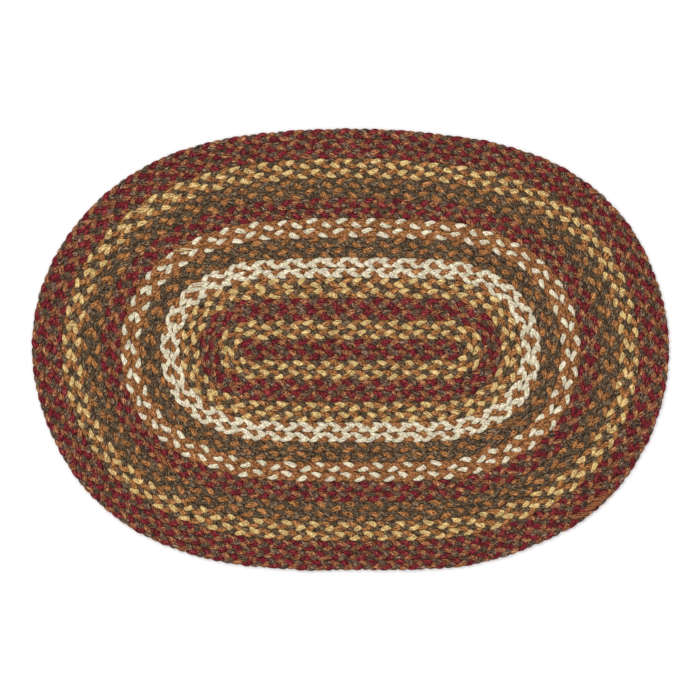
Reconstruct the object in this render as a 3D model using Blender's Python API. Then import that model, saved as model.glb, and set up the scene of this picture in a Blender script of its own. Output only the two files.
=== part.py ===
"""A small oval braided rug: twenty-two closed rounds of flat jute braid, laced edge to edge into one flat piece.

The rug is one solid. Its top is ribbed, a rib for each round, and its underside lies flat. Units are metres,
with +Z up. The origin is under the middle of the rug, on the floor, and +X runs along the rug's length.
"""

import math

import bmesh
import bpy

# Driving dimensions
LENGTH = 0.750
WIDTH = 0.520
THICKNESS = 0.008
ROUNDS = 22

# Worked out from them: every round is an oval of two straight sides and two half-circle ends, and all the
# ovals share the same middle line, which is as long as a straight side.
EDGE_RADIUS = WIDTH / 2
HALF_STRAIGHT = (LENGTH - WIDTH) / 2
BRAID_WIDTH = EDGE_RADIUS / ROUNDS

# The hand-made outline: its four shoulders are drawn in, one of them more than the one across from it.
SHOULDER_TUCK = 0.032
SHOULDER_SHIFT = 1.4
LEAN = 0.008
LEAN_ANGLE = math.radians(-45)

# The rib of one round, as shares of the braid's width and of the rug's thickness
CREST_SHARES = (0.28, 0.72)
GROOVE_HEIGHT = 0.62 * THICKNESS

# The rug's rim, from the floor up: how far in from the edge, and how high, as shares of the thickness
RIM = (
    (0.30, 0.00),
    (0.06, 0.22),
    (0.00, 0.50),
    (0.10, 0.82),
)

# How finely the ovals are divided
STEPS_ROUND_END = 24
STEPS_ALONG_SIDE = 8
WELD = 1e-6

# The yarns plaited into each run of rounds, counted from the middle out: last round, name, colour
BANDS = (
    (1, "burgundy_tan_olive", (0.17, 0.06, 0.045)),
    (3, "mustard_caramel_olive", (0.31, 0.18, 0.08)),
    (5, "burgundy_tan_olive", (0.17, 0.06, 0.045)),
    (7, "mustard_caramel_olive", (0.31, 0.18, 0.08)),
    (9, "cream_rust", (0.50, 0.38, 0.24)),
    (11, "olive_caramel", (0.17, 0.10, 0.05)),
    (13, "rust_cream", (0.36, 0.21, 0.12)),
    (15, "burgundy_tan_olive", (0.17, 0.06, 0.045)),
    (17, "olive_caramel", (0.17, 0.10, 0.05)),
    (19, "mustard_caramel_olive", (0.31, 0.18, 0.08)),
    (22, "burgundy_tan_olive", (0.17, 0.06, 0.045)),
)
YARN_ROUGHNESS = 0.9


def clear_scene():
    for thing in list(bpy.data.objects):
        bpy.data.objects.remove(thing, do_unlink=True)


def cross_section():
    """Half of the rug's section, as (distance from the middle line, height): floor, rim, then rib after rib."""
    section = [(0.0, 0.0)]
    section += [(EDGE_RADIUS - inward * THICKNESS, height * THICKNESS) for inward, height in RIM]
    for rounds_in in range(ROUNDS):
        outer = EDGE_RADIUS - rounds_in * BRAID_WIDTH
        section += [(outer - share * BRAID_WIDTH, THICKNESS) for share in CREST_SHARES]
        section.append((max(outer - BRAID_WIDTH, 0.0), GROOVE_HEIGHT))
    return section


def newest(result):
    """The edges and points that a sweep ended with."""
    return [part for part in result if isinstance(part, (bmesh.types.BMVert, bmesh.types.BMEdge))]


def spin_end(mesh, geometry, middle_x):
    """Turns the section half a turn about one end of the middle line."""
    made = bmesh.ops.spin(
        mesh,
        geom=geometry,
        cent=(middle_x, 0, 0),
        axis=(0, 0, 1),
        angle=math.pi,
        steps=STEPS_ROUND_END,
    )
    return newest(made["geom_last"])


def draw_side(mesh, geometry, toward):
    """Draws the section along a straight side, toward +X or -X."""
    step = toward * 2 * HALF_STRAIGHT / STEPS_ALONG_SIDE
    for _ in range(STEPS_ALONG_SIDE):
        edges = [part for part in geometry if isinstance(part, bmesh.types.BMEdge)]
        geometry = newest(bmesh.ops.extrude_edge_only(mesh, edges=edges)["geom"])
        points = [part for part in geometry if isinstance(part, bmesh.types.BMVert)]
        bmesh.ops.translate(mesh, verts=points, vec=(step, 0, 0))
    return geometry


def share_round(point):
    """Where a point lies round its oval: 0 at the tip of an end, 1 at the middle of a long side."""
    quarter_turn = math.pi / 2 * EDGE_RADIUS
    past_side = abs(point.x) - HALF_STRAIGHT
    if past_side > 0:
        run = math.atan2(abs(point.y), past_side) * EDGE_RADIUS
    else:
        run = quarter_turn - past_side
    return run / (quarter_turn + HALF_STRAIGHT)


def draw_in_shoulders(mesh):
    """Draws each point toward the middle line, by how far the hand-made outline is drawn in there."""
    for point in mesh.verts:
        across = math.atan2(point.co.y, point.co.x)
        tuck = SHOULDER_TUCK * math.sin(math.pi * share_round(point.co) ** SHOULDER_SHIFT) ** 3
        lean = LEAN * math.cos(across - LEAN_ANGLE) * math.sin(2 * across) ** 2
        scale = 1 - tuck + lean
        middle_x = max(-HALF_STRAIGHT, min(HALF_STRAIGHT, point.co.x))
        point.co.x = middle_x + (point.co.x - middle_x) * scale
        point.co.y *= scale


def round_number(face):
    """Which round a face lies in, counted from the middle, before the outline is drawn in."""
    middle = face.calc_center_median()
    middle_x = max(-HALF_STRAIGHT, min(HALF_STRAIGHT, middle.x))
    out = math.hypot(middle.x - middle_x, middle.y)
    return min(ROUNDS, 1 + int(out / BRAID_WIDTH))


def yarn_material(name, colour):
    material = bpy.data.materials.new(name)
    material.use_nodes = True
    shader = material.node_tree.nodes["Principled BSDF"]
    shader.inputs["Base Color"].default_value = (*colour, 1)
    shader.inputs["Roughness"].default_value = YARN_ROUGHNESS
    shader.inputs["Metallic"].default_value = 0.0
    return material


def colour_bands(mesh, materials):
    """Gives each face the yarns of its band."""
    slots = list(materials)
    for face in mesh.faces:
        number = round_number(face)
        mix = next(name for last, name, _ in BANDS if number <= last)
        face.material_index = slots.index(mix)


def make_rug():
    mesh = bmesh.new()
    points = [mesh.verts.new((HALF_STRAIGHT, -out, height)) for out, height in cross_section()]
    edges = [mesh.edges.new(pair) for pair in zip(points, points[1:])]
    swept = spin_end(mesh, points + edges, HALF_STRAIGHT)
    swept = draw_side(mesh, swept, -1)
    swept = spin_end(mesh, swept, -HALF_STRAIGHT)
    draw_side(mesh, swept, 1)
    bmesh.ops.remove_doubles(mesh, verts=mesh.verts, dist=WELD)
    bmesh.ops.recalc_face_normals(mesh, faces=mesh.faces)

    materials = {name: yarn_material(name, colour) for _, name, colour in reversed(BANDS)}
    colour_bands(mesh, materials)
    draw_in_shoulders(mesh)

    data = bpy.data.meshes.new("braided_rug")
    for material in materials.values():
        data.materials.append(material)
    mesh.to_mesh(data)
    mesh.free()
    data.shade_smooth()
    return bpy.data.objects.new("braided_rug", data)


def main():
    clear_scene()
    collection = bpy.data.collections.new("braided rug")
    bpy.context.scene.collection.children.link(collection)
    collection.objects.link(make_rug())


main()
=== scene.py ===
"""Looks for a small oval rug of flat jute braid, lying on a pale studio floor.

Every round of the rug is a closed three-strand plait. Each strand is modelled as yarn that swings from
edge to edge of its plait and passes over and under the other two. Units are metres, in the frame of the
packed rug.
"""

import math

import bmesh
import bpy
import numpy as np
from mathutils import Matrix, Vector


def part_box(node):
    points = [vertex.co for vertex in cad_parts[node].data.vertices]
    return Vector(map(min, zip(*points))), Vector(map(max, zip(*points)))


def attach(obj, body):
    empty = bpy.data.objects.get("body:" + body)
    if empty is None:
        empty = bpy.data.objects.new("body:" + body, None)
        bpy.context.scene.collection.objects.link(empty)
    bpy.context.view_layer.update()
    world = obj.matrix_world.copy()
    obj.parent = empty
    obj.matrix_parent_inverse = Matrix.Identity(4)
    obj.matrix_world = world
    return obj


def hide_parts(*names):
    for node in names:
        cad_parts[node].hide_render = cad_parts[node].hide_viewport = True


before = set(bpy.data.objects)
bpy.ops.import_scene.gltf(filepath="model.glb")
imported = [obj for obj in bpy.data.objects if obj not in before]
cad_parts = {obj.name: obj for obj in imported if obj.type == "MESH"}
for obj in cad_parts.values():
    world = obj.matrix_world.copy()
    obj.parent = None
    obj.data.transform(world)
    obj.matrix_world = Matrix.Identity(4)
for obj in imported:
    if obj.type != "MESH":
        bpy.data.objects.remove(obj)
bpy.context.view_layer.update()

BODY = "root"
RUG = "braided_rug"

# ------------------------------------------------------------------ the outline
LOWEST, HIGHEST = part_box(RUG)
LENGTH, WIDTH, THICKNESS = HIGHEST - LOWEST
MIDDLE_HEIGHT = LOWEST.z + THICKNESS / 2

# Every round is an oval about the same middle line: two straight sides and two half-circle ends. The area
# is that of the finished, uneven rug.
ROUNDS = 22
EDGE_RADIUS = WIDTH / 2
HALF_STRAIGHT = (LENGTH - WIDTH) / 2
BRAID_WIDTH = EDGE_RADIUS / ROUNDS

# The hand-made outline. Its four shoulders are drawn in by these shares of the radius: one for the inner
# rounds, up to the number given, and one for the outermost. The shift moves the deepest place toward the
# long sides. The outline also leans a little toward one shoulder.
TUCK_INSIDE = 0.050
TUCK_AT_EDGE = 0.032
ROUNDS_TUCKED_ALIKE = 15
SHOULDER_SHIFT = 1.4
LEAN = 0.008
LEAN_ANGLE = math.radians(-45)

# The rounds lie closer together in some places than in others. For some rounds, counted from the middle:
# how far the round lies outside its even place along the two sides, and at the two ends.
ROUND_SHIFTS = (
    (0, 0.0000, 0.0060),
    (1, 0.0005, 0.0060),
    (3, -0.0002, 0.0060),
    (5, 0.0020, 0.0035),
    (9, 0.0025, 0.0030),
    (13, 0.0018, 0.0022),
    (19, 0.0010, 0.0005),
    (22, 0.0001, 0.0002),
)

# Flat places in the outer rounds: their direction from the middle, in degrees, and how far the edge lies in
# there. Each one fades out over this angle, and from the edge inward with this power of the rounds out.
FLAT_PLACES = (
    (15, 0.0015),
    (62, 0.0036),
    (120, 0.0018),
    (153, 0.0028),
    (197, 0.0026),
    (242, 0.0017),
    (275, 0.0012),
    (312, 0.0028),
    (340, 0.0020),
)
FLAT_PLACE_FADE = math.radians(12)
FLAT_PLACE_POWER = 4


# ------------------------------------------------------------------ the make of the braid
# A strand's way through its plait: how far it swings to either side and up and down, and how much of a wave
# three times as fast shapes each swing
SWING = 0.0035
SWING_SQUARED = -0.09
LIFT = 0.0018
LIFT_FLATTENED = 0.08

# A strand's section: its half width and half thickness on the face, and where it turns at the plait's edge.
# Then how suddenly it changes there, how far its face rolls outward, and how square it is, 1 being round.
HALF_WIDTH_ON_FACE = 0.0036
HALF_WIDTH_AT_EDGE = 0.0028
HALF_THICK_ON_FACE = 0.0020
HALF_THICK_AT_EDGE = 0.0030
EDGE_SHARPNESS = 6
DOMING = math.radians(6)
SECTION_SQUARED = 0.76

# How finely a strand is drawn: the rings in one repeat of its swing, how much closer they lie where it turns
# at the edge, and the sides of its section
STEPS_A_REPEAT = 14
STEPS_CLOSER_AT_EDGE = 0.2
SIDES = 12

# The small random unevenness of a strand: of its pace, in repeats, of its way to either side, and of its
# width, as a share. Each is the sum of some waves that fit the round at least this many times.
PACE_WANDER = 0.02
SIDE_WANDER = 0.0001
WIDTH_WANDER = 0.035
WAVES_IN_WANDER = 5
SLOWEST_WAVE = 3

# How much yarn there is to cut a strand from, so that no two strands show the same lobes
YARN_STOCK = 10.0

# The lacing thread that holds each round to the next: it loops from side to side and up and down
THREAD_RADIUS = 0.0005
THREAD_SWING = 0.0009
THREAD_LIFT = 0.0016
THREAD_WAVE = 0.0165
THREAD_STEPS_A_WAVE = 5
THREAD_SIDES = 4

# The yarn packed between the rounds: how thick it is, how many rounds short of the edge it ends, how far
# from the middle line its slit lies, in rounds, and the width across the rug that one yarn's girth covers
GROUND_THICKNESS = 0.0008
GROUND_INSET = 0.25
GROUND_MIDDLE_SLIT = 0.1
GROUND_STEPS_ROUND = 240
GROUND_GIRTH = 0.017

# The joins, where the end of a braid is whipped down with turns of its own yarns: the round, the share of
# the way round it, and the yarn of each turn
JOINS = (
    (22, 0.898, ("tan", "caramel", "burgundy", "caramel", "tan") * 5),
    (19, 0.392, ("mustard", "caramel", "mustard", "mustard", "caramel", "mustard")),
    (15, 0.601, ("caramel", "tan", "burgundy", "caramel", "tan") * 2),
    (13, 0.396, ("rust", "mustard", "off_white", "rust", "mustard", "rust")),
    (10, 0.915, ("caramel", "dark_olive", "rust", "dark_olive", "caramel") * 2),
    (9, 0.419, ("off_white", "off_white", "rust", "off_white", "off_white", "rust", "off_white")),
)

# The turns of the whipping. The first three are the least and the most: the yarn's radius, how far a turn
# slants along the round to either side, and how far across it reaches, as a share of half the braid. Then
# how far apart the turns lie, how far one may be shifted, as a share of that, and how high they stand.
WHIPPING_RADIUS = (0.00063, 0.00084)
WHIPPING_SLANT = (0.0068, 0.0102)
WHIPPING_REACH = (0.80, 0.92)
WHIPPING_PITCH = 0.0019
WHIPPING_SHIFT = 0.4
WHIPPING_HEIGHT = 0.0033
WHIPPING_RAISED = 0.0002
WHIPPING_STEPS = 24
WHIPPING_SIDES = 8

# The two maps of a piece: one runs along its yarn, and one lays all its faces out flat. On the flat one, a
# tube's rings stand this far apart, in girths, with these margins between the rows and round the whole map.
YARN_MAP = "along_yarn"
FLAT_MAP = "OFBake"
RING_SPACING_IN_GIRTHS = 0.15
ROW_MARGIN = 0.03
TUBE_MAP_MARGIN = 0.001
GROUND_MAP_MARGIN = 0.01

# Bands of rounds that are plaited of the same yarns: name, the three strands in clockwise order, and the
# rounds. Each round has its number counted from the middle, and how often its stitches repeat.
BANDS = (
    ("edge_band", ("burgundy", "tan", "olive"), ((20, 58), (21, 60), (22, 62))),
    ("outer_mustard_band", ("mustard", "dark_olive", "caramel"), ((18, 52), (19, 54))),
    ("outer_olive_band", ("caramel", "dark_olive", "dark_olive"), ((16, 48), (17, 50))),
    ("wide_burgundy_band", ("burgundy", "tan", "olive"), ((14, 45), (15, 47))),
    ("white_dot_band", ("off_white", "rust", "rust"), ((12, 38), (13, 40))),
    ("inner_olive_band", ("caramel", "dark_olive", "dark_olive"), ((10, 35), (11, 37))),
    ("white_chain_band", ("rust", "off_white", "off_white"), ((8, 31), (9, 33))),
    ("inner_mustard_band", ("mustard", "dark_olive", "caramel"), ((6, 26), (7, 29))),
    ("small_burgundy_band", ("burgundy", "tan", "olive"), ((4, 22), (5, 25))),
    ("middle_mustard_band", ("mustard", "dark_olive", "caramel"), ((2, 18), (3, 20))),
    ("middle_loop", ("burgundy", "tan", "olive"), ((1, 16),)),
)

# How far on each plait starts from the one inside it, in repeats, so that their stitches don't line up
PLAIT_STAGGER = 0.618


# ------------------------------------------------------------------ the yarns
def srgb(red, green, blue):
    """A colour as seen, 0 to 255, in the linear numbers that shaders take."""
    shares = [value / 255 for value in (red, green, blue)]
    return tuple(s / 12.92 if s <= 0.04045 else ((s + 0.055) / 1.055) ** 2.4 for s in shares) + (1.0,)


# Yarns: their colour, that of their darkest lobes, which also serves as the painted shade in the seams
# between plies and lobes, that of their lightest lobes, and how strongly the lobes differ
YARNS = {
    "burgundy": (srgb(111, 20, 31), srgb(61, 12, 14), srgb(132, 69, 58), 1.0),
    "tan": (srgb(137, 83, 52), srgb(84, 41, 21), srgb(173, 130, 89), 1.0),
    "olive": (srgb(88, 66, 50), srgb(47, 32, 19), srgb(145, 117, 95), 1.0),
    "dark_olive": (srgb(87, 68, 48), srgb(42, 31, 17), srgb(134, 113, 87), 1.0),
    "mustard": (srgb(206, 173, 113), srgb(147, 107, 54), srgb(225, 208, 154), 0.6),
    "caramel": (srgb(156, 102, 55), srgb(97, 51, 22), srgb(173, 132, 87), 0.9),
    "rust": (srgb(146, 93, 52), srgb(95, 52, 20), srgb(180, 139, 90), 0.8),
    "off_white": (srgb(216, 206, 178), srgb(165, 142, 109), srgb(232, 224, 207), 0.5),
    "thread": (srgb(120, 92, 62), srgb(78, 58, 38), srgb(150, 120, 84), 0.4),
    "ground": (srgb(84, 62, 44), srgb(50, 36, 26), srgb(110, 84, 60), 0.4),
}

# How thick these yarns are, against the others
YARN_THICKNESS = {"off_white": 0.92, "mustard": 0.94, "burgundy": 1.09, "tan": 0.97}

# The plies of a strand: how many lie round it, and how they wind round it, in turns a metre. Their own
# twist shows as slanting lobes, and each ply's lobes lie this far along from its neighbour's, in lobes.
PLIES = 7
PLY_TWIST = 4.0
LOBE_LENGTH = 0.0036
LOBE_SLANT = 0.9
LOBE_STAGGER = 0.37

# How plies and lobes swell: the power that rounds them, and how high the seam between two lobes of a ply is
ROUNDING = 0.5
SEAM_HEIGHT = 0.55

# The fibres in a lobe: a noise of this fineness, which starts elsewhere in every ply
FIBRES_A_LOBE = 2.4
FIBRES_ACROSS_A_PLY = 1.8
FIBRE_SHIFT = 7.3
FIBRE_DETAIL = 3.0
FIBRE_CRISPNESS = 0.6

# The slow drift of a yarn's tone: how many patches a metre of it has, and how many go round it
DRIFT_A_METRE = 60.0
DRIFT_ROUND = 3.0
DRIFT_DETAIL = 1.0
DRIFT_CRISPNESS = 0.5

# A lobe's tone is partly one for the whole lobe and for the rest its fibres'. Between these two tones it
# turns to the shade colour, and between these two to the fleck colour. Each lobe also has a faint tint.
WHOLE_LOBE_TONE = 0.25
TONES_TO_SHADE = (0.47, 0.29)
TONES_TO_FLECK = (0.545, 0.765)
LOBE_TINT = 0.04

# How the pattern shows. Each is a range of a value, and the range that it is turned into: the swell into
# the share of shade colour painted into the seams between plies and lobes, as painted shade; the swell into
# painted shade in those seams and a faint painted light on the crowns; the drift and the fibres into how
# light the yarn's own colour is there; and the fibres into how rough it is.
SEAM_PAINTED_SHADE = (0.5, 0.0, 0.0, 0.6)
SWELL_PAINTED_SHADE = (0.0, 0.6, 0.74, 1.03)
DRIFT_LIGHT = (0.3, 0.7, 0.90, 1.10)
FIBRE_LIGHT = (0.40, 0.60, -0.92, 0.72)
FIBRE_ROUGHNESS = (0.3, 0.7, 0.95, 0.75)

# The shade on a strand's flanks, where it is pressed against its neighbours, by the sine of the angle round
# the strand: where it is deepest, where it ends, and how light it is at its deepest
FLANK_LIGHT = (0.1, 0.75, 0.72, 1.0)

# The relief of the yarn's surface: the fibres' share of it, how strong it is and how deep. Then its gloss.
FIBRE_RELIEF = 0.3
RELIEF_STRENGTH = 0.6
RELIEF_DEPTH = 0.0004
GLOSS = 0.25


# ------------------------------------------------------------------ the rounds
def reach(rounds_out):
    """How far from the middle line this many rounds reach: along the two sides, and at the two ends."""
    rounds, along_sides, at_ends = zip(*ROUND_SHIFTS)
    even = rounds_out * BRAID_WIDTH
    side_shift = np.interp(rounds_out, rounds, along_sides)
    end_shift = np.interp(rounds_out, rounds, at_ends)
    return even + side_shift, even + end_shift


def drawn_in(tuck, angle, share_along, direction):
    """How far the hand-made outline stands from the middle line, as a share of a perfect oval's."""
    quarter = math.pi / 2 * EDGE_RADIUS
    share_round = (angle * EDGE_RADIUS + share_along * HALF_STRAIGHT) / (quarter + HALF_STRAIGHT)
    shoulders = tuck * np.sin(math.pi * share_round**SHOULDER_SHIFT) ** 3
    lean = LEAN * np.cos(direction - LEAN_ANGLE) * np.sin(2 * direction) ** 2
    return 1 - shoulders + lean


def flattened(direction, rounds_out):
    """How far in the hand-made outline lies at its flat places, in this direction from the middle."""
    inward = np.zeros_like(direction)
    for degrees, size in FLAT_PLACES:
        past = np.angle(np.exp(1j * (direction - math.radians(degrees))))
        inward += size * np.exp(-((past / FLAT_PLACE_FADE) ** 2))
    return inward * (rounds_out / ROUNDS) ** FLAT_PLACE_POWER


class Oval:
    """A line midway between two numbers of rounds, counter-clockwise from the tip at the right."""

    POINTS = 2400

    def __init__(self, inner, outer):
        (inner_side, inner_end), (outer_side, outer_end) = reach(inner), reach(outer)
        radius = (inner_side + outer_side) / 2
        half_straight = HALF_STRAIGHT + (inner_end + outer_end) / 2 - radius
        quarter = math.pi / 2 * radius
        total = 4 * (quarter + half_straight)

        # Where each point of a perfect oval lies: along it from the nearer tip, and on which side
        run = np.arange(self.POINTS) / self.POINTS * total
        from_tip = np.minimum.reduce([run, np.abs(total / 2 - run), total - run])
        right = np.where((run < total / 4) | (run > 3 * total / 4), 1, -1)
        upper = np.where(run < total / 2, 1, -1)
        angle = np.minimum(from_tip / radius, math.pi / 2)
        along = np.maximum(from_tip - quarter, 0)
        middle_x = right * (half_straight - along)
        out_x = right * radius * np.cos(angle)
        out_y = upper * radius * np.sin(angle)

        # The same points where the hand-made rug has them
        tuck = np.interp(outer, (ROUNDS_TUCKED_ALIKE, ROUNDS), (TUCK_INSIDE, TUCK_AT_EDGE))
        direction = np.arctan2(out_y, middle_x + out_x)
        scale = drawn_in(tuck, angle, along / half_straight, direction)
        scale -= flattened(direction, outer) / EDGE_RADIUS
        self.places = np.stack([middle_x + out_x * scale, out_y * scale], axis=1)

        ahead = np.roll(self.places, -1, axis=0) - np.roll(self.places, 1, axis=0)
        ahead /= np.linalg.norm(ahead, axis=1, keepdims=True)
        self.outward = np.stack([ahead[:, 1], -ahead[:, 0]], axis=1)

        steps = np.linalg.norm(np.roll(self.places, -1, axis=0) - self.places, axis=1)
        self.length = float(steps.sum())
        self.runs = np.concatenate([[0], np.cumsum(steps)[:-1]])

        # How wide the round is at each point, against an even one
        at_side = np.abs(self.outward[:, 1]) ** 2
        widths = (outer_side - inner_side) * at_side + (outer_end - inner_end) * (1 - at_side)
        self.fullness = widths / BRAID_WIDTH

    def at(self, run):
        """Places, outward directions and how full the round is, at these lengths along it."""
        place = [np.interp(run, self.runs, column, period=self.length) for column in self.places.T]
        outward = [np.interp(run, self.runs, column, period=self.length) for column in self.outward.T]
        fullness = np.interp(run, self.runs, self.fullness, period=self.length)
        return np.stack(place, axis=1), unit(np.stack(outward, axis=1)), fullness


def wander(rng, share, size, fastest):
    """A smooth closed unevenness: a few waves that fit the round a whole number of times."""
    total = np.zeros_like(share)
    for _ in range(WAVES_IN_WANDER):
        waves = int(rng.integers(SLOWEST_WAVE, fastest + 1))
        total += np.sin(2 * math.pi * (waves * share + rng.random()))
    return size * total


def between(rng, least, most):
    """A random size between these two."""
    return least + (most - least) * rng.random()


def unit(vectors):
    """These directions, each one metre long."""
    return vectors / np.linalg.norm(vectors, axis=1, keepdims=True)


def raised(plan, heights):
    """Places or directions on the plan, with their heights."""
    return np.column_stack([plan, heights])


# ------------------------------------------------------------------ tubes
def squared(waves):
    """Circle coordinates pushed out toward a square, because packed yarn lies flat on its neighbours."""
    return np.sign(waves) * np.abs(waves) ** SECTION_SQUARED


def tube(centres, outward, half_width, half_thick, roll, sides):
    """The rings of points of a closed yarn, one ring for each centre, with the length run along it."""
    ahead = unit(np.roll(centres, -1, axis=0) - np.roll(centres, 1, axis=0))
    side = unit(outward - (outward * ahead).sum(axis=1, keepdims=True) * ahead)
    up = np.cross(side, ahead)
    turned_side = side * np.cos(roll)[:, None] + up * np.sin(roll)[:, None]
    turned_up = up * np.cos(roll)[:, None] - side * np.sin(roll)[:, None]

    around = 2 * math.pi * np.arange(sides) / sides
    rings = (
        centres[:, None, :]
        + turned_side[:, None, :] * (half_width[:, None] * squared(np.cos(around)))[:, :, None]
        + turned_up[:, None, :] * (half_thick[:, None] * squared(np.sin(around)))[:, :, None]
    )
    steps = np.linalg.norm(np.roll(centres, -1, axis=0) - centres, axis=1)
    return rings, np.concatenate([[0], np.cumsum(steps)])


def even_tube(centres, outward, radius, sides):
    """The same as tube, for a round yarn of one thickness."""
    radii = np.full(len(centres), radius)
    return tube(centres, outward, radii, radii, 0 * radii, sides)


def tubes_object(name, tubes, material):
    """One object of closed tubes, each (rings, length run to each ring).

    One of its maps runs along the yarn, in metres and turns. The other lays all the faces out flat in rows.
    """
    points, faces, along, flat = [], [], [], []
    rings_in_all = sum(len(rings) for rings, _ in tubes)
    sides = tubes[0][0].shape[1]
    rows = max(1, round(math.sqrt(rings_in_all * RING_SPACING_IN_GIRTHS)))
    rings_a_row = math.ceil(rings_in_all / rows)
    first, laid = 0, 0
    for rings, run in tubes:
        count = len(rings)
        points.append(rings.reshape(-1, 3))
        ring, corner = np.meshgrid(np.arange(count), np.arange(sides), indexing="ij")
        next_ring, next_corner = (ring + 1) % count, (corner + 1) % sides
        quads = [ring * sides + corner, next_ring * sides + corner]
        quads += [next_ring * sides + next_corner, ring * sides + next_corner]
        faces.append(first + np.stack(quads, axis=2).reshape(-1, 4))

        turns = np.stack([corner, corner, corner + 1, corner + 1], axis=2) / sides
        metres = np.stack([run[ring], run[ring + 1], run[ring + 1], run[ring]], axis=2)
        along.append(np.stack([metres, turns], axis=3).reshape(-1, 2))

        row, place = divmod(laid + ring, rings_a_row)
        across = np.stack([place, place + 1, place + 1, place], axis=2) / rings_a_row
        across = TUBE_MAP_MARGIN + across * (1 - 2 * TUBE_MAP_MARGIN)
        down = (row[:, :, None] + ROW_MARGIN + turns * (1 - 2 * ROW_MARGIN)) / rows
        flat.append(np.stack([across, down], axis=3).reshape(-1, 2))
        first += count * sides
        laid += count

    mesh = bpy.data.meshes.new(name)
    mesh.from_pydata(np.concatenate(points), [], np.concatenate(faces))
    for label, values in ((YARN_MAP, along), (FLAT_MAP, flat)):
        layer = mesh.uv_layers.new(name=label)
        layer.data.foreach_set("uv", np.concatenate(values).astype(np.float32).ravel())
    mesh.shade_smooth()
    mesh.materials.append(material)
    piece = bpy.data.objects.new(name, mesh)
    bpy.context.scene.collection.objects.link(piece)
    return piece


# ------------------------------------------------------------------ the plaits
def plaited_strand(oval, repeats, start, thickness, rng):
    """One strand of a round's plait, which starts at this share of a repeat."""
    share = np.arange(repeats * STEPS_A_REPEAT) / (repeats * STEPS_A_REPEAT)
    closer = STEPS_CLOSER_AT_EDGE * np.sin(4 * math.pi * (repeats * share + start))
    share += closer / (2 * math.pi * repeats)
    unevenness = wander(rng, share, PACE_WANDER, 2 * repeats)
    turn = 2 * math.pi * (repeats * share + start + unevenness)

    across = SWING * (np.sin(turn) + SWING_SQUARED * np.sin(3 * turn))
    lift = -LIFT * (np.sin(2 * turn) + LIFT_FLATTENED * np.sin(6 * turn))
    place, outward, fullness = oval.at(share * oval.length)
    across = fullness * across + wander(rng, share, SIDE_WANDER, repeats)
    centres = raised(place + outward * across[:, None], MIDDLE_HEIGHT + lift)

    at_edge = np.abs(np.sin(turn)) ** EDGE_SHARPNESS
    half_width = thickness * fullness * (1 + wander(rng, share, WIDTH_WANDER, 2 * repeats))
    half_width *= HALF_WIDTH_ON_FACE + (HALF_WIDTH_AT_EDGE - HALF_WIDTH_ON_FACE) * at_edge
    half_thick = HALF_THICK_ON_FACE + (HALF_THICK_AT_EDGE - HALF_THICK_ON_FACE) * at_edge
    roll = DOMING * np.sin(turn) * np.sin(2 * turn)
    rings, run = tube(centres, raised(outward, 0 * share), half_width, half_thick, roll, SIDES)
    return rings, run + YARN_STOCK * rng.random()


def plait_band(name, yarns, rounds, rng):
    """The rounds of one band, each yarn of it a piece of its own."""
    strands = {yarn: [] for yarn in yarns}
    for number, repeats in rounds:
        oval = Oval(number - 1, number)
        for position, yarn in enumerate(yarns):
            thickness = YARN_THICKNESS.get(yarn, 1.0)
            start = number * PLAIT_STAGGER + position / len(yarns)
            strands[yarn].append(plaited_strand(oval, repeats, start, thickness, rng))
    return yarn_pieces(name, strands)


def yarn_pieces(name, tubes_of_yarn):
    """A piece for each yarn, of all the tubes that are made of it."""
    return [
        tubes_object(f"{name}_{yarn}", tubes, yarn_material(yarn))
        for yarn, tubes in tubes_of_yarn.items()
    ]


# ------------------------------------------------------------------ what holds the rounds together
def lacing(rng):
    """A thread in each groove between two rounds, looping from one to the other."""
    tubes = []
    for boundary in range(1, ROUNDS):
        oval = Oval(boundary, boundary)
        waves = round(oval.length / THREAD_WAVE)
        share = np.arange(waves * THREAD_STEPS_A_WAVE) / (waves * THREAD_STEPS_A_WAVE)
        turn = 2 * math.pi * (waves * share + rng.random())
        place, outward, _ = oval.at(share * oval.length)
        looped = place + outward * THREAD_SWING * np.sin(turn)[:, None]
        centres = raised(looped, MIDDLE_HEIGHT + THREAD_LIFT * np.cos(turn))
        tubes.append(even_tube(centres, raised(outward, 0 * share), THREAD_RADIUS, THREAD_SIDES))
    return tubes_object("lacing_thread", tubes, yarn_material("thread"))


def whipping(rng):
    """The slanting turns of yarn that hold down the ends of the braid at each join."""
    turns = {}
    around = 2 * math.pi * np.arange(WHIPPING_STEPS) / WHIPPING_STEPS
    heights = MIDDLE_HEIGHT + WHIPPING_RAISED + WHIPPING_HEIGHT * squared(np.sin(around))
    for number, share, yarns in JOINS:
        oval = Oval(number - 1, number)
        for position, yarn in enumerate(yarns):
            slant = between(rng, *WHIPPING_SLANT)
            place_in_row = position - len(yarns) / 2 + WHIPPING_SHIFT * rng.random()
            middle = share * oval.length + place_in_row * WHIPPING_PITCH
            reach_out = BRAID_WIDTH / 2 * between(rng, *WHIPPING_REACH)
            radius = between(rng, *WHIPPING_RADIUS)

            place, outward, fullness = oval.at(middle + slant * np.cos(around))
            across = fullness * reach_out * np.cos(around)
            centres = raised(place + outward * across[:, None], heights)
            turn = even_tube(centres, raised(outward, 0 * around), radius, WHIPPING_SIDES)
            turns.setdefault(yarn, []).append(turn)
    return yarn_pieces("whipping", turns)


def ground_faces(rings):
    """The faces between each ring of points and the next, and those that close the slit in the middle."""
    steps = len(rings[0])
    faces = []
    for inner, outer in zip(rings, rings[1:]):
        faces += [(inner[i - 1], outer[i - 1], outer[i], inner[i]) for i in range(steps)]
    slit, far = rings[0], steps // 2
    faces += [(slit[i], slit[i + 1], slit[-i - 1], slit[-i]) for i in range(1, far - 1)]
    faces += [(slit[0], slit[1], slit[-1]), (slit[far - 1], slit[far], slit[far + 1])]
    return faces


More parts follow.
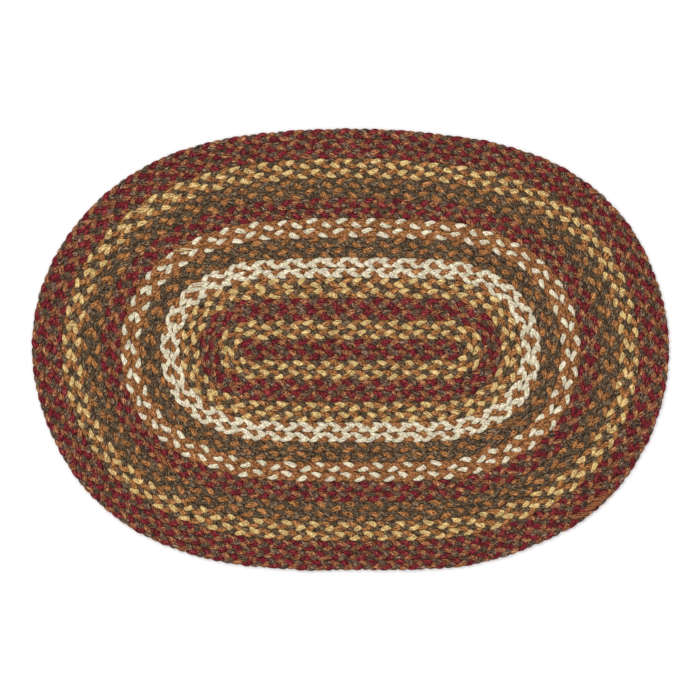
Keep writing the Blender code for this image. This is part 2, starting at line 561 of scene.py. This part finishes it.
def packed_ground():
    """The yarn packed between the rounds: a thin closed body in the rug that fills the plaits' gaps."""
    outlines = []
    for rounds_out in [GROUND_MIDDLE_SLIT, *range(1, ROUNDS), ROUNDS - GROUND_INSET]:
        oval = Oval(rounds_out, rounds_out)
        place, _, _ = oval.at(np.arange(GROUND_STEPS_ROUND) / GROUND_STEPS_ROUND * oval.length)
        outlines.append(place)

    mesh = bmesh.new()
    yarn_map = mesh.loops.layers.uv.new(YARN_MAP)
    flat_map = mesh.loops.layers.uv.new(FLAT_MAP)
    rim = [mesh.verts.new((x, y, MIDDLE_HEIGHT)) for x, y in outlines[-1]]
    for below, sign in enumerate((1, -1)):
        height = MIDDLE_HEIGHT + sign * GROUND_THICKNESS / 2
        rings = [[mesh.verts.new((x, y, height)) for x, y in outline] for outline in outlines[:-1]]
        for corners in ground_faces(rings + [rim]):
            face = mesh.faces.new(corners[::sign])
            for loop in face.loops:
                x, y, _ = loop.vert.co
                loop[yarn_map].uv = (x, y / GROUND_GIRTH)
                across = (x - LOWEST.x) / LENGTH * (1 - 2 * GROUND_MAP_MARGIN)
                down = (y - LOWEST.y) / WIDTH * (1 / 2 - 2 * GROUND_MAP_MARGIN)
                loop[flat_map].uv = (GROUND_MAP_MARGIN + across, GROUND_MAP_MARGIN + down + below / 2)
    data = bpy.data.meshes.new("packed_ground")
    mesh.to_mesh(data)
    mesh.free()
    data.shade_smooth()
    data.materials.append(yarn_material("ground"))
    ground = bpy.data.objects.new("packed_ground", data)
    bpy.context.scene.collection.objects.link(ground)
    return ground


# ------------------------------------------------------------------ materials
def new_group(name, inputs, outputs):
    """An empty shader group with these sockets, each (name, kind, value)."""
    tree = bpy.data.node_groups.new(name, "ShaderNodeTree")
    for label, kind, value in inputs:
        socket = tree.interface.new_socket(label, in_out="INPUT", socket_type=kind)
        socket.default_value = value
    for label, kind in outputs:
        tree.interface.new_socket(label, in_out="OUTPUT", socket_type=kind)
    return tree, tree.nodes.new("NodeGroupInput"), tree.nodes.new("NodeGroupOutput")


def put(tree, value, socket):
    """Links value into a socket, or sets it there if it is a plain number or colour."""
    if isinstance(value, bpy.types.NodeSocket):
        tree.links.new(value, socket)
    else:
        socket.default_value = value


def sums(tree, operation, first, second=0.0, third=0.0):
    """The outcome of one sum."""
    node = tree.nodes.new("ShaderNodeMath")
    node.operation = operation
    for value, socket in zip((first, second, third), node.inputs):
        put(tree, value, socket)
    return node.outputs["Value"]


def remap(tree, value, low, high, new_low=0.0, new_high=1.0):
    """The value, with the range from low to high turned into the new range, and held at its ends."""
    node = tree.nodes.new("ShaderNodeMapRange")
    sockets = ("Value", "From Min", "From Max", "To Min", "To Max")
    for name, number in zip(sockets, (value, low, high, new_low, new_high)):
        put(tree, number, node.inputs[name])
    return node.outputs["Result"]


# A Mix node has sockets for every kind of value. These are the ones for colours.
MIX_SHARE, MIX_FIRST, MIX_SECOND, MIXED = 0, 6, 7, 2


def blended(tree, share, first, second, way="MIX"):
    """The first colour with this share of the second in it."""
    node = tree.nodes.new("ShaderNodeMix")
    node.data_type = "RGBA"
    node.blend_type = way
    put(tree, share, node.inputs[MIX_SHARE])
    put(tree, first, node.inputs[MIX_FIRST])
    put(tree, second, node.inputs[MIX_SECOND])
    return node.outputs[MIXED]


def noise(tree, place, detail, roughness):
    """A smooth noise with patches about one unit across."""
    node = tree.nodes.new("ShaderNodeTexNoise")
    put(tree, place, node.inputs["Vector"])
    node.inputs["Scale"].default_value = 1.0
    node.inputs["Detail"].default_value = detail
    node.inputs["Roughness"].default_value = roughness
    return node.outputs["Fac"]


def place_of(tree, first, second=0.0, third=0.0):
    """The place with these three values, for a noise to be taken at."""
    node = tree.nodes.new("ShaderNodeCombineXYZ")
    for value, socket in zip((first, second, third), node.inputs):
        put(tree, value, socket)
    return node.outputs[0]


def rounded(tree, share):
    """A swelling that rises from 0 at one edge to 1 in the middle, for a share of the way across."""
    wave = sums(tree, "SINE", sums(tree, "MULTIPLY", share, math.pi))
    return sums(tree, "POWER", wave, ROUNDING)


def wound_place(tree, along, around, per_metre, patches_round):
    """A place for noise that runs along the yarn and closes round it."""
    radius = patches_round / (2 * math.pi)
    across = sums(tree, "MULTIPLY", sums(tree, "COSINE", around), radius)
    up = sums(tree, "MULTIPLY", sums(tree, "SINE", around), radius)
    return place_of(tree, sums(tree, "MULTIPLY", along, per_metre), across, up)


JUTE = "jute yarn"
YARN_SOCKETS = ("Yarn Colour", "Shade Colour", "Fleck Colour", "Mottle")
GREYS = ((0.5, 0.5, 0.5, 1), (0.2, 0.2, 0.2, 1), (0.8, 0.8, 0.8, 1))


def jute_group():
    """A strand of jute: twisted plies side by side, each a row of slanting lobes with their own tones."""
    colour = "NodeSocketColor"
    number = "NodeSocketFloat"
    tree, given, result = new_group(
        JUTE,
        zip(YARN_SOCKETS, (colour, colour, colour, number), (*GREYS, 1.0)),
        [("Colour", colour), ("Roughness", number), ("Height", number)],
    )
    yarn_colour, shade_colour, fleck_colour, mottle = (given.outputs[name] for name in YARN_SOCKETS)
    layer = tree.nodes.new("ShaderNodeUVMap")
    layer.uv_map = YARN_MAP
    split = tree.nodes.new("ShaderNodeSeparateXYZ")
    tree.links.new(layer.outputs[0], split.inputs[0])
    along, turns = split.outputs[0], split.outputs[1]
    around = sums(tree, "MULTIPLY", turns, 2 * math.pi)

    ply = sums(tree, "MULTIPLY_ADD", turns, PLIES, sums(tree, "MULTIPLY", along, PLY_TWIST * PLIES))
    across_ply = sums(tree, "FRACT", ply)
    which_ply = sums(tree, "WRAP", sums(tree, "FLOOR", ply), PLIES, 0.0)
    slanted = sums(tree, "MULTIPLY", across_ply, LOBE_SLANT)
    lobe = sums(tree, "MULTIPLY_ADD", along, 1 / LOBE_LENGTH, slanted)
    lobe = sums(tree, "MULTIPLY_ADD", which_ply, LOBE_STAGGER, lobe)
    round_lobe = rounded(tree, sums(tree, "FRACT", lobe))
    swell = remap(tree, round_lobe, 0.0, 1.0, SEAM_HEIGHT, 1.0)
    swell = sums(tree, "MULTIPLY", rounded(tree, across_ply), swell)

    lobe_tones = tree.nodes.new("ShaderNodeTexWhiteNoise")
    lobe_tones.noise_dimensions = "3D"
    tree.links.new(place_of(tree, sums(tree, "FLOOR", lobe), which_ply), lobe_tones.inputs["Vector"])
    fibre_place = place_of(
        tree,
        sums(tree, "MULTIPLY", lobe, FIBRES_A_LOBE),
        sums(tree, "MULTIPLY", across_ply, FIBRES_ACROSS_A_PLY),
        sums(tree, "MULTIPLY", which_ply, FIBRE_SHIFT),
    )
    fibres = noise(tree, fibre_place, FIBRE_DETAIL, FIBRE_CRISPNESS)
    drift_place = wound_place(tree, along, around, DRIFT_A_METRE, DRIFT_ROUND)
    drift = noise(tree, drift_place, DRIFT_DETAIL, DRIFT_CRISPNESS)

    fibre_tone = sums(tree, "MULTIPLY", fibres, 1 - WHOLE_LOBE_TONE)
    tone = sums(tree, "MULTIPLY_ADD", lobe_tones.outputs["Value"], WHOLE_LOBE_TONE, fibre_tone)
    shaded = sums(tree, "MULTIPLY", mottle, remap(tree, tone, *TONES_TO_SHADE))
    flecked = sums(tree, "MULTIPLY", mottle, remap(tree, tone, *TONES_TO_FLECK))
    yarn = blended(tree, shaded, yarn_colour, shade_colour)
    yarn = blended(tree, flecked, yarn, fleck_colour)
    # Painted shade: the seams between plies and lobes take on the shade colour
    yarn = blended(tree, remap(tree, swell, *SEAM_PAINTED_SHADE), yarn, shade_colour)
    yarn = blended(tree, LOBE_TINT, yarn, lobe_tones.outputs["Color"], "OVERLAY")

    # Painted shade in the seams between plies and lobes, with a faint painted light on their crowns, and
    # painted shade on the strand's flanks; the drift and the fibres are the yarn's own tone
    upright = sums(tree, "ABSOLUTE", sums(tree, "SINE", around))
    light = remap(tree, swell, *SWELL_PAINTED_SHADE)
    light = sums(tree, "MULTIPLY", light, remap(tree, upright, *FLANK_LIGHT))
    light = sums(tree, "MULTIPLY", light, remap(tree, drift, *DRIFT_LIGHT))
    heathered = sums(tree, "MULTIPLY_ADD", mottle, remap(tree, fibres, *FIBRE_LIGHT), 1.0)
    light = sums(tree, "MULTIPLY", light, heathered)
    lit = tree.nodes.new("ShaderNodeVectorMath")
    lit.operation = "SCALE"
    tree.links.new(yarn, lit.inputs[0])
    tree.links.new(light, lit.inputs["Scale"])

    relief = sums(tree, "MULTIPLY", swell, 1 - FIBRE_RELIEF)
    relief = sums(tree, "MULTIPLY_ADD", fibres, FIBRE_RELIEF, relief)
    tree.links.new(lit.outputs[0], result.inputs["Colour"])
    tree.links.new(remap(tree, fibres, *FIBRE_ROUGHNESS), result.inputs["Roughness"])
    tree.links.new(relief, result.inputs["Height"])
    return tree


def yarn_material(yarn):
    """The material of one yarn, made once."""
    label = f"{yarn} jute yarn"
    if label in bpy.data.materials:
        return bpy.data.materials[label]
    material = bpy.data.materials.new(label)
    material.use_nodes = True
    tree = material.node_tree
    shader = tree.nodes["Principled BSDF"]
    jute = tree.nodes.new("ShaderNodeGroup")
    jute.node_tree = bpy.data.node_groups.get(JUTE) or jute_group()
    for name, value in zip(YARN_SOCKETS, YARNS[yarn]):
        jute.inputs[name].default_value = value
    bump = tree.nodes.new("ShaderNodeBump")
    bump.inputs["Strength"].default_value = RELIEF_STRENGTH
    bump.inputs["Distance"].default_value = RELIEF_DEPTH
    tree.links.new(jute.outputs["Height"], bump.inputs["Height"])
    tree.links.new(bump.outputs["Normal"], shader.inputs["Normal"])
    tree.links.new(jute.outputs["Colour"], shader.inputs["Base Color"])
    tree.links.new(jute.outputs["Roughness"], shader.inputs["Roughness"])
    shader.inputs["Specular IOR Level"].default_value = GLOSS
    return material


# ------------------------------------------------------------------ studio
FLOOR_SIZE = 12.0
FLOOR_COLOUR = (0.98, 0.98, 0.98, 1)
FLOOR_ROUGHNESS = 0.9
SKY_COLOUR = (1, 1, 1, 1)
SKY_STRENGTH = 0.85
SOFTBOX_SIZE = 2.5
SOFTBOX_POWER = 45
SOFTBOX_PLACE = (-0.7, 0.8, 3.2)

# The camera looks straight down, and sees this width at the height of the rug's top
VIEW_WIDTH = 0.8235
CAMERA_PLACE = (-0.0006, -0.0002, 3.0)
FARTHEST_SEEN = 50


def pale_floor():
    """A wide matt floor under the rug."""
    bpy.ops.mesh.primitive_plane_add(size=FLOOR_SIZE, location=(0, 0, LOWEST.z))
    floor = bpy.context.object
    floor.name = "studio_floor"
    pale = bpy.data.materials.new("pale floor")
    pale.use_nodes = True
    shader = pale.node_tree.nodes["Principled BSDF"]
    shader.inputs["Base Color"].default_value = FLOOR_COLOUR
    shader.inputs["Roughness"].default_value = FLOOR_ROUGHNESS
    shader.inputs["Specular IOR Level"].default_value = 0.0
    floor.data.materials.append(pale)


def soft_light():
    """Even light from all round, and a large soft lamp overhead."""
    world = bpy.data.worlds.new("studio")
    world.use_nodes = True
    sky = world.node_tree.nodes["Background"]
    sky.inputs["Color"].default_value = SKY_COLOUR
    sky.inputs["Strength"].default_value = SKY_STRENGTH
    bpy.context.scene.world = world

    softbox = bpy.data.lights.new("softbox", "AREA")
    softbox.shape = "DISK"
    softbox.size = SOFTBOX_SIZE
    softbox.energy = SOFTBOX_POWER
    lamp = bpy.data.objects.new("softbox", softbox)
    lamp.location = SOFTBOX_PLACE
    lamp.rotation_euler = lamp.location.to_track_quat("Z", "Y").to_euler()
    bpy.context.scene.collection.objects.link(lamp)


def camera_overhead():
    """A camera over the middle of the rug, a little to the side as in the photo."""
    camera = bpy.data.cameras.new("camera")
    camera.lens = camera.sensor_width * (CAMERA_PLACE[2] - THICKNESS) / VIEW_WIDTH
    camera.clip_end = FARTHEST_SEEN
    viewer = bpy.data.objects.new("camera", camera)
    viewer.location = CAMERA_PLACE
    bpy.context.scene.collection.objects.link(viewer)
    bpy.context.scene.camera = viewer


def studio():
    """The floor, the light and the camera, with colours shown as they are."""
    bpy.context.scene.view_settings.view_transform = "Standard"
    pale_floor()
    soft_light()
    camera_overhead()


# ------------------------------------------------------------------ the rug
SEED = 22


def main():
    studio()
    rng = np.random.default_rng(SEED)
    pieces = []
    for band in BANDS:
        pieces += plait_band(*band, rng)
    pieces.append(lacing(rng))
    pieces += whipping(rng)
    ground = packed_ground()
    for piece in [ground] + pieces:
        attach(piece, BODY)
    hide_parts(RUG)


main()
